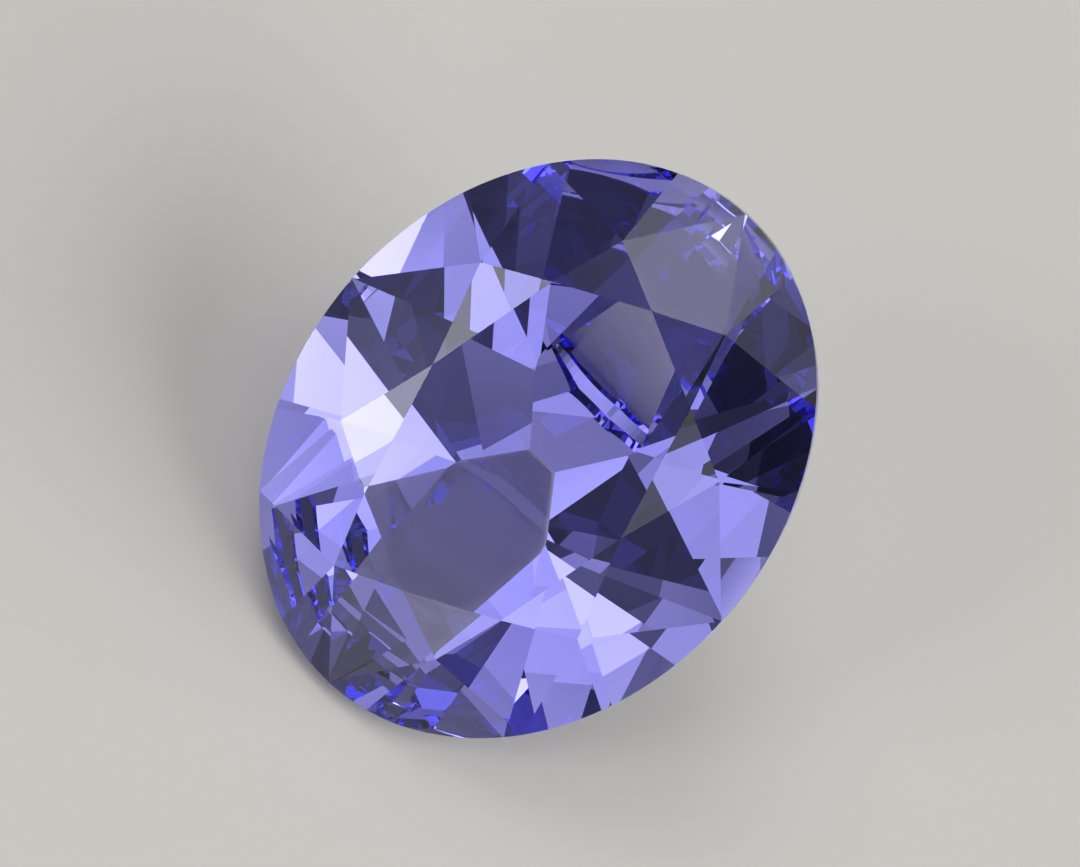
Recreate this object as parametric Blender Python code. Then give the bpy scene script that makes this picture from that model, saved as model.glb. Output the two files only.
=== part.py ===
"""Oval tanzanite with a brilliant cut, lying on one of its pavilion facets.

The stone is modelled the way it was cut. An elliptic blank is trimmed by one
flat facet after another: the table, bezels, stars and upper halves make the
crown, and the mains and lower halves make the pavilion. The girdle between
them keeps the blank's round side.

In the stone's own axes the girdle's upper edge lies at height 0, X runs along
the oval and Z points out of the table. Lengths are metres, angles are degrees
and slopes are measured from the girdle plane.
"""

import math
from typing import NamedTuple

import bmesh
import bpy
from mathutils import Quaternion, Vector

# Overall size of the oval
LENGTH = 0.0100
WIDTH = 0.0080
GIRDLE_THICKNESS = 0.00026
TABLE_HEIGHT = 0.00074

# Crown: one slope for the two ends, the four diagonals and the two sides
BEZEL_SLOPES = {"end": 20.0, "diagonal": 21.7, "side": 20.5}
STAR_SLOPES = {"end": 10.9, "side": 12.3}
BEZEL_DIAGONAL = 45.7
TABLE_DIAGONAL = 33.2
UPPER_HALF_JOINTS = {"end": 17.8, "side": 62.1}

# Pavilion: the lean is added to the main at +X and taken from the one at -X, so the keel is off centre
MAIN_SLOPES = {"end": 33.1, "diagonal": 40.7, "side": 41.1}
MAIN_DIAGONAL = 41.4
MAIN_LEAN = -1.7
LOWER_HALF_DEPTHS = {"end": 0.00278, "side": 0.00300}
LOWER_HALF_JOINTS = {"end": 10.3, "side": 63.7}

# The stone rests on this main, counted round the oval from the +X end
REST_MAIN = 4

GIRDLE_SEGMENTS = 240
BLANK_DEPTH = 0.012
CUT_TOLERANCE = 1e-7

STONE_COLOUR = (0.20, 0.17, 0.72, 1.0)
STONE_ROUGHNESS = 0.02
STONE_IOR = 1.69


class Facet(NamedTuple):
    """A flat cut: its outward normal and its distance from the centre."""

    normal: Vector
    distance: float


def remove_scene_objects():
    for old in list(bpy.data.objects):
        bpy.data.objects.remove(old, do_unlink=True)


def rim_point(angle, height):
    """Point on the oval at an ellipse angle in radians."""
    return Vector((math.cos(angle) * LENGTH / 2, math.sin(angle) * WIDTH / 2, height))


def rim_facet(angle, slope, height, side):
    """Facet that touches the rim at one point; side is 1 above, -1 below."""
    outward = Vector((math.cos(angle) / LENGTH, math.sin(angle) / WIDTH, 0.0)).normalized()
    lean = math.radians(slope)
    normal = outward * math.sin(lean) + Vector((0.0, 0.0, side * math.cos(lean)))
    return Facet(normal, normal.dot(rim_point(angle, height)))


def facet_through(first, second, third):
    """Facet through three points, turned to face away from the centre."""
    normal = (second - first).cross(third - first).normalized()
    distance = normal.dot(first)
    if distance < 0.0:
        return Facet(-normal, -distance)
    return Facet(normal, distance)


def meet(first, second, third):
    """Point that three facets share."""
    a, b, c = first.normal, second.normal, third.normal
    total = b.cross(c) * first.distance + c.cross(a) * second.distance + a.cross(b) * third.distance
    return total / a.dot(b.cross(c))


def eight_angles(diagonal):
    """Ends, diagonals and sides round the oval, as ellipse angles in radians."""
    quarter = math.radians(diagonal)
    return [
        0.0, quarter, math.pi / 2, math.pi - quarter,
        math.pi, math.pi + quarter, math.pi * 1.5, math.tau - quarter,
    ]


def eight_joints(joints):
    """Rim angles between neighbours, where two half facets share a corner."""
    end, side = math.radians(joints["end"]), math.radians(joints["side"])
    quarter = [end, side, math.pi - side, math.pi - end]
    return quarter + [angle + math.pi for angle in quarter]


def eight_mains(values):
    """Values for the facets that point at an end, a diagonal or a side."""
    return [values[name] for name in ("end", "diagonal", "side", "diagonal")] * 2


def eight_gaps(values):
    """Values for the places between those facets."""
    return [values[name] for name in ("end", "side", "side", "end")] * 2


def half_facets(tips, angles, joints, height):
    """Two facets on each side of a tip, running down to the rim."""
    halves = []
    for index, tip in enumerate(tips):
        joint = rim_point(joints[index], height)
        for angle in (angles[index], angles[(index + 1) % 8]):
            halves.append(facet_through(tip, rim_point(angle, height), joint))
    return halves


def crown_facets():
    table = Facet(Vector((0.0, 0.0, 1.0)), TABLE_HEIGHT)
    angles = eight_angles(BEZEL_DIAGONAL)
    slopes = eight_mains(BEZEL_SLOPES)
    bezels = [rim_facet(angle, slope, 0.0, 1) for angle, slope in zip(angles, slopes)]

    corners = []
    for bezel, azimuth in zip(bezels, eight_angles(TABLE_DIAGONAL)):
        upright = Facet(Vector((-math.sin(azimuth), math.cos(azimuth), 0.0)), 0.0)
        corners.append(meet(bezel, table, upright))

    stars = []
    for index, slope in enumerate(eight_gaps(STAR_SLOPES)):
        corner = corners[index]
        edge = corners[(index + 1) % 8] - corner
        outward = edge.cross(table.normal).normalized()
        lean = math.radians(slope)
        normal = outward * math.sin(lean) + table.normal * math.cos(lean)
        stars.append(Facet(normal, normal.dot(corner)))

    tips = [meet(bezels[i], bezels[(i + 1) % 8], stars[i]) for i in range(8)]
    halves = half_facets(tips, angles, eight_joints(UPPER_HALF_JOINTS), 0.0)
    return [table] + bezels + stars + halves


def pavilion_mains():
    angles = eight_angles(MAIN_DIAGONAL)
    slopes = [slope + MAIN_LEAN * math.cos(a) for slope, a in zip(eight_mains(MAIN_SLOPES), angles)]
    return [rim_facet(a, s, -GIRDLE_THICKNESS, -1) for a, s in zip(angles, slopes)]


def pavilion_facets():
    mains = pavilion_mains()
    tips = []
    for index, depth in enumerate(eight_gaps(LOWER_HALF_DEPTHS)):
        level = Facet(Vector((0.0, 0.0, 1.0)), -depth)
        tips.append(meet(mains[index], mains[(index + 1) % 8], level))
    joints = eight_joints(LOWER_HALF_JOINTS)
    halves = half_facets(tips, eight_angles(MAIN_DIAGONAL), joints, -GIRDLE_THICKNESS)
    return mains + halves


def cut_facet(mesh, facet):
    """Take away what stands outside a facet and close the cut."""
    cut = bmesh.ops.bisect_plane(
        mesh,
        geom=mesh.verts[:] + mesh.edges[:] + mesh.faces[:],
        dist=CUT_TOLERANCE,
        plane_co=facet.normal * facet.distance,
        plane_no=facet.normal,
        clear_outer=True,
    )
    rim = [item for item in cut["geom_cut"] if isinstance(item, bmesh.types.BMEdge) and item.is_boundary]
    if rim:
        bmesh.ops.edgeloop_fill(mesh, edges=rim)


def cut_stone(facets):
    mesh = bmesh.new()
    bmesh.ops.create_cone(
        mesh, cap_ends=True, segments=GIRDLE_SEGMENTS, radius1=0.5, radius2=0.5, depth=BLANK_DEPTH
    )
    bmesh.ops.scale(mesh, vec=(LENGTH, WIDTH, 1.0), verts=mesh.verts[:])
    for facet in facets:
        cut_facet(mesh, facet)
    bmesh.ops.remove_doubles(mesh, verts=mesh.verts[:], dist=CUT_TOLERANCE)
    bmesh.ops.recalc_face_normals(mesh, faces=mesh.faces[:])
    data = bpy.data.meshes.new("oval_tanzanite")
    mesh.to_mesh(data)
    mesh.free()
    return data


def stone_material():
    material = bpy.data.materials.new("tanzanite")
    material.use_nodes = True
    shader = material.node_tree.nodes["Principled BSDF"]
    shader.inputs["Base Color"].default_value = STONE_COLOUR
    shader.inputs["Roughness"].default_value = STONE_ROUGHNESS
    shader.inputs["Metallic"].default_value = 0.0
    shader.inputs["IOR"].default_value = STONE_IOR
    return material


def rest_rotation(rest_normal):
    """Turn that lays the rest facet flat and leans the table towards -Y."""
    lay = rest_normal.rotation_difference(Vector((0.0, 0.0, -1.0)))
    table = lay @ Vector((0.0, 0.0, 1.0))
    swing = -math.pi / 2 - math.atan2(table.y, table.x)
    return Quaternion((0.0, 0.0, 1.0), swing) @ lay


def place_on_facet(stone, rest_normal):
    """Rest the stone with its box centred on the origin and its base at 0."""
    stone.rotation_mode = "QUATERNION"
    stone.rotation_quaternion = rest_rotation(rest_normal)
    turned = [stone.rotation_quaternion @ vertex.co for vertex in stone.data.vertices]
    lowest = Vector([min(point[axis] for point in turned) for axis in range(3)])
    highest = Vector([max(point[axis] for point in turned) for axis in range(3)])
    centre = (lowest + highest) / 2
    stone.location = Vector((-centre.x, -centre.y, -lowest.z))


def main():
    remove_scene_objects()
    collection = bpy.data.collections.new("oval_tanzanite")
    bpy.context.scene.collection.children.link(collection)

    stone = bpy.data.objects.new("oval_tanzanite", cut_stone(crown_facets() + pavilion_facets()))
    stone.data.materials.append(stone_material())
    collection.objects.link(stone)
    place_on_facet(stone, pavilion_mains()[REST_MAIN].normal)
    bpy.context.view_layer.update()


main()
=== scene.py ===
"""Dresses the oval tanzanite as clear faceted crystal on a pale floor.

The stone's own axes are those of its construction: X runs along the oval, Z
points out of the table and the girdle's upper edge lies at height 0. The
camera is placed in those axes, because the photograph looks into the table.
Lengths are metres and angles are degrees, unless a name or comment says
otherwise.
"""

import math

import bmesh
import bpy
from mathutils import Matrix, Quaternion, Vector


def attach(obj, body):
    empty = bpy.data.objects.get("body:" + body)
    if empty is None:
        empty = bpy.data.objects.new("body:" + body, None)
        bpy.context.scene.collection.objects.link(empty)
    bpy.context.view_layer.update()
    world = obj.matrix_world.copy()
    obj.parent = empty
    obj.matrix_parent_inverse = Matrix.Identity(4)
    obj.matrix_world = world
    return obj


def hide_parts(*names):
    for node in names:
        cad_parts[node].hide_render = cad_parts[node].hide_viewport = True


NODE = "oval_tanzanite"

# How the stone lies: slope and ellipse angle of the main facet under it
REST_SLOPE = 34.8
REST_ANGLE = 180.0
TABLE_HEIGHT = 0.00074

# Camera, as tilt from the table's normal, where that tilt points, and the oval's turn in the picture
CAMERA_TILT = 10.9
CAMERA_TOWARD = -37.5
OVAL_TURN = 48.3
CAMERA_DISTANCE = 0.110
NEAREST_SEEN = 0.005
FARTHEST_SEEN = 10.0
SENSOR_WIDTH_MM = 36.0

# The photograph's frame and the oval's place in it, in pixels
PICTURE_WIDTH, PICTURE_HEIGHT = 1080, 867
STONE_CENTRE_PIXEL = (535.4, 449.7)
PIXELS_PER_METRE = 63400.0

# Crystal: absorption per metre in red, green and blue
ABSORPTION = (118.0, 122.0, 11.0)
ABSORPTION_DENSITY = 140.0
CRYSTAL_IOR = 1.69

# Corners this close are one corner, and triangles that turn by less than this are one facet
MERGE_DISTANCE = 1e-7
FACET_FLATNESS = 0.05

# The floor lies just clear of the rest facet, so that the two faces don't coincide
FLOOR_SIZE = 2.0
FLOOR_GAP = 0.00002
FLOOR_COLOUR = "#BDBBB6"
FLOOR_ROUGHNESS = 0.9
FLOOR_SPECULAR = 0.2

# Studio cards: azimuth, elevation and radius, then brightness. The numbers weren't chosen by hand:
# a search gave them, from the bright and dark facets of the photograph, and they
# were then rounded and made brighter.
STUDIO_CARDS = [
    ("large softbox at the right", 105.0, 25.0, 25.0, 5.2),
    ("overhead panel", 200.0, 85.0, 25.0, 1.1),
    ("front fill", 8.0, 16.0, 20.0, 1.1),
    ("front left softbox", 320.0, 32.0, 12.0, 3.6),
    ("small overhead lamp", 330.0, 80.0, 13.0, 2.1),
    ("dark screen at the front", 28.0, 10.0, 16.0, 0.0),
    ("back left softbox", 230.0, 48.0, 14.0, 4.1),
    ("dim panel over the camera", 40.0, 50.0, 10.0, 0.9),
]

# The camera's own dark outline as the stone sees it
CAMERA_SCREEN_RADIUS = 7.0
CAMERA_SCREEN_BRIGHTNESS = 0.2

# A card fades out over this share of its radius, inside and outside its edge
CARD_SOFTNESS = 0.4
HORIZON_BRIGHTNESS = 0.18
ZENITH_BRIGHTNESS = 0.03

# Light runs round inside the stone for many bounces before it leaves
CRYSTAL_BOUNCES = 24
GLOSSY_BOUNCES = 16

# Socket numbers, for sockets that share their names with others of the same node
MIX_FACTOR, MIX_FIRST, MIX_SECOND = 0, 6, 7
MIX_RESULT = 2
FIRST_VECTOR, SECOND_VECTOR = 0, 1


def linear(hex_colour):
    """sRGB hex colour as linear red, green, blue and alpha."""
    channels = [int(hex_colour[i:i + 2], 16) / 255 for i in (1, 3, 5)]
    return [c / 12.92 if c <= 0.04045 else ((c + 0.055) / 1.055) ** 2.4 for c in channels] + [1.0]


def white(brightness):
    """White light of one brightness, as red, green, blue and alpha."""
    return [brightness] * 3 + [1.0]


def add_node(tree, kind, values=None, links=None, **settings):
    """Add a shader node with its settings, input values and incoming links."""
    made = tree.nodes.new(kind)
    for name, value in settings.items():
        setattr(made, name, value)
    for key, value in (values or {}).items():
        made.inputs[key].default_value = value
    for key, socket in (links or {}).items():
        tree.links.new(socket, made.inputs[key])
    return made


def direction(azimuth, elevation):
    """Unit vector from the stone; azimuth 0 points to -Y, the side of the camera."""
    a, e = math.radians(azimuth), math.radians(elevation)
    return Vector((math.sin(a) * math.cos(e), -math.cos(a) * math.cos(e), math.sin(e)))


def stone_turn():
    """Rotation from the stone's own axes to the way it lies."""
    slope, angle = math.radians(REST_SLOPE), math.radians(REST_ANGLE)
    outward = Vector((math.cos(angle), math.sin(angle), 0.0))
    rest_normal = outward * math.sin(slope) - Vector((0.0, 0.0, math.cos(slope)))
    lay = rest_normal.rotation_difference(Vector((0.0, 0.0, -1.0)))
    table = lay @ Vector((0.0, 0.0, 1.0))
    swing = -math.pi / 2 - math.atan2(table.y, table.x)
    return Quaternion((0.0, 0.0, 1.0), swing) @ lay


def girdle_centre(turn):
    """Centre of the girdle's upper edge, measured on the CAD solid."""
    back = turn.inverted()
    own = [back @ vertex.co for vertex in bpy.data.objects[NODE].data.vertices]
    spans = [(min(p[axis] for p in own), max(p[axis] for p in own)) for axis in range(3)]
    centre = Vector((sum(spans[0]) / 2, sum(spans[1]) / 2, spans[2][1] - TABLE_HEIGHT))
    return turn @ centre


def camera_axes(turn):
    """Right, up and back directions of the camera in world axes."""
    tilt, toward, oval = (math.radians(a) for a in (CAMERA_TILT, CAMERA_TOWARD, OVAL_TURN))
    back = Vector((math.sin(tilt) * math.cos(toward), math.sin(tilt) * math.sin(toward), math.cos(tilt)))
    along = Vector((1.0, 0.0, 0.0))
    along = (along - back * along.dot(back)).normalized()
    across = back.cross(along)
    right = along * math.cos(oval) - across * math.sin(oval)
    up = along * math.sin(oval) + across * math.cos(oval)
    return turn @ right, turn @ up, turn @ back


def add_camera(turn, centre):
    """Camera that sees the oval at the place, size and turn it has in the photograph."""
    right, up, back = camera_axes(turn)
    offset_x = (PICTURE_WIDTH / 2 - STONE_CENTRE_PIXEL[0]) / PIXELS_PER_METRE
    offset_y = (STONE_CENTRE_PIXEL[1] - PICTURE_HEIGHT / 2) / PIXELS_PER_METRE
    data = bpy.data.cameras.new("camera")
    data.sensor_width = SENSOR_WIDTH_MM
    data.lens = SENSOR_WIDTH_MM * PIXELS_PER_METRE * CAMERA_DISTANCE / PICTURE_WIDTH
    data.clip_start = NEAREST_SEEN
    data.clip_end = FARTHEST_SEEN
    camera = bpy.data.objects.new("camera", data)
    turned = Matrix((right, up, back)).transposed()
    place = centre + back * CAMERA_DISTANCE + right * offset_x + up * offset_y
    camera.matrix_world = Matrix.Translation(place) @ turned.to_4x4()
    bpy.context.scene.collection.objects.link(camera)
    bpy.context.scene.camera = camera


def tanzanite_material():
    """Tanzanite, cut and polished on every facet.

    The eye sees straight through it. Short ways through the stone look pale
    lavender and long ones deep blue, because red and green are absorbed.
    """
    material = bpy.data.materials.new("polished tanzanite")
    material.use_nodes = True
    tree = material.node_tree
    tree.nodes.clear()

    shader = add_node(
        tree, "ShaderNodeBsdfPrincipled",
        values={
            "Base Color": linear("#FFFFFF"),
            "Transmission Weight": 1.0,
            "IOR": CRYSTAL_IOR,
            "Metallic": 0.0,
            "Roughness": 0.0,
        },
    )
    colour = [1.0 - amount / ABSORPTION_DENSITY for amount in ABSORPTION] + [1.0]
    volume = add_node(
        tree, "ShaderNodeVolumeAbsorption", values={"Color": colour, "Density": ABSORPTION_DENSITY}
    )
    add_node(
        tree, "ShaderNodeOutputMaterial",
        links={"Surface": shader.outputs["BSDF"], "Volume": volume.outputs["Volume"]},
    )
    return material


def add_stone():
    """The cut stone: the CAD solid with the triangles of each facet joined."""
    mesh = bmesh.new()
    mesh.from_mesh(bpy.data.objects[NODE].data)
    bmesh.ops.remove_doubles(mesh, verts=mesh.verts[:], dist=MERGE_DISTANCE)
    bmesh.ops.dissolve_limit(
        mesh, angle_limit=math.radians(FACET_FLATNESS), use_dissolve_boundaries=False,
        verts=mesh.verts[:], edges=mesh.edges[:],
    )
    data = bpy.data.meshes.new("cut_stone")
    mesh.to_mesh(data)
    mesh.free()
    data.materials.append(tanzanite_material())
    stone = bpy.data.objects.new("cut_stone", data)
    bpy.context.scene.collection.objects.link(stone)
    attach(stone, "root")
    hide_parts(NODE)


def floor_material():
    """Board with matt paint: an even pale warm grey with no gloss."""
    material = bpy.data.materials.new("matt painted board")
    material.use_nodes = True
    shader = material.node_tree.nodes["Principled BSDF"]
    shader.inputs["Base Color"].default_value = linear(FLOOR_COLOUR)
    shader.inputs["Roughness"].default_value = FLOOR_ROUGHNESS
    shader.inputs["Specular IOR Level"].default_value = FLOOR_SPECULAR
    return material


def add_floor():
    """Flat floor under the stone, which is no part of the object."""
    mesh = bmesh.new()
    bmesh.ops.create_grid(mesh, x_segments=1, y_segments=1, size=FLOOR_SIZE / 2)
    bmesh.ops.translate(mesh, vec=(0.0, 0.0, -FLOOR_GAP), verts=mesh.verts[:])
    data = bpy.data.meshes.new("floor")
    mesh.to_mesh(data)
    mesh.free()
    data.materials.append(floor_material())
    floor = bpy.data.objects.new("floor", data)
    bpy.context.scene.collection.objects.link(floor)


def add_card(tree, looking, behind, name, towards, radius, brightness):
    """A round card with a soft edge, in front of the light that lies behind it."""
    nearness = add_node(
        tree, "ShaderNodeVectorMath", operation="DOT_PRODUCT",
        values={SECOND_VECTOR: towards},
        links={FIRST_VECTOR: looking},
    )
    mask = add_node(
        tree, "ShaderNodeMapRange", interpolation_type="SMOOTHSTEP",
        values={
            "From Min": math.cos(math.radians(radius * (1.0 + CARD_SOFTNESS))),
            "From Max": math.cos(math.radians(radius * (1.0 - CARD_SOFTNESS))),
        },
        links={"Value": nearness.outputs["Value"]},
    )
    card = add_node(
        tree, "ShaderNodeMix", data_type="RGBA", label=name,
        values={MIX_SECOND: white(brightness)},
        links={MIX_FACTOR: mask.outputs["Result"], MIX_FIRST: behind},
    )
    return card.outputs[MIX_RESULT]


def add_studio_light(turn):
    """A dim sky with soft and dark cards in front of it, each set by direction."""
    world = bpy.data.worlds.new("studio")
    bpy.context.scene.world = world
    world.use_nodes = True
    tree = world.node_tree
    tree.nodes.clear()
    looking = add_node(tree, "ShaderNodeTexCoord").outputs["Generated"]
    height = add_node(tree, "ShaderNodeSeparateXYZ", links={"Vector": looking}).outputs["Z"]
    sky = add_node(
        tree, "ShaderNodeMix", data_type="RGBA",
        values={MIX_FIRST: white(HORIZON_BRIGHTNESS), MIX_SECOND: white(ZENITH_BRIGHTNESS)},
        links={MIX_FACTOR: height},
    )
    light = sky.outputs[MIX_RESULT]
    for name, azimuth, elevation, radius, brightness in STUDIO_CARDS:
        light = add_card(tree, looking, light, name, direction(azimuth, elevation), radius, brightness)
    camera_back = camera_axes(turn)[2]
    light = add_card(
        tree, looking, light, "camera screen", camera_back, CAMERA_SCREEN_RADIUS, CAMERA_SCREEN_BRIGHTNESS
    )
    background = add_node(tree, "ShaderNodeBackground", links={"Color": light})
    add_node(tree, "ShaderNodeOutputWorld", links={"Surface": background.outputs["Background"]})


def set_light_paths():
    """Bounces for light that runs round inside the stone, and a clean picture of it."""
    cycles = bpy.context.scene.cycles
    cycles.max_bounces = CRYSTAL_BOUNCES
    cycles.transmission_bounces = CRYSTAL_BOUNCES
    cycles.glossy_bounces = GLOSSY_BOUNCES
    cycles.use_denoising = True
    cycles.denoising_input_passes = "RGB"
    bpy.context.scene.view_settings.view_transform = "Standard"


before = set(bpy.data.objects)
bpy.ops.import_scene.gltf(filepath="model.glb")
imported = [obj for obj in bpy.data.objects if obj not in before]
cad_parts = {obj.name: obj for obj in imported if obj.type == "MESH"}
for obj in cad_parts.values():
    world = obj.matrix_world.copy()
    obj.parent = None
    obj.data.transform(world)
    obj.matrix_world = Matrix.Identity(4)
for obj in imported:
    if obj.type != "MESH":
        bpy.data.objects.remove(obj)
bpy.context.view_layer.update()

stone_rotation = stone_turn()
stone_middle = girdle_centre(stone_rotation)
add_stone()
add_floor()
add_studio_light(stone_rotation)
add_camera(stone_rotation, stone_middle)
set_light_paths()
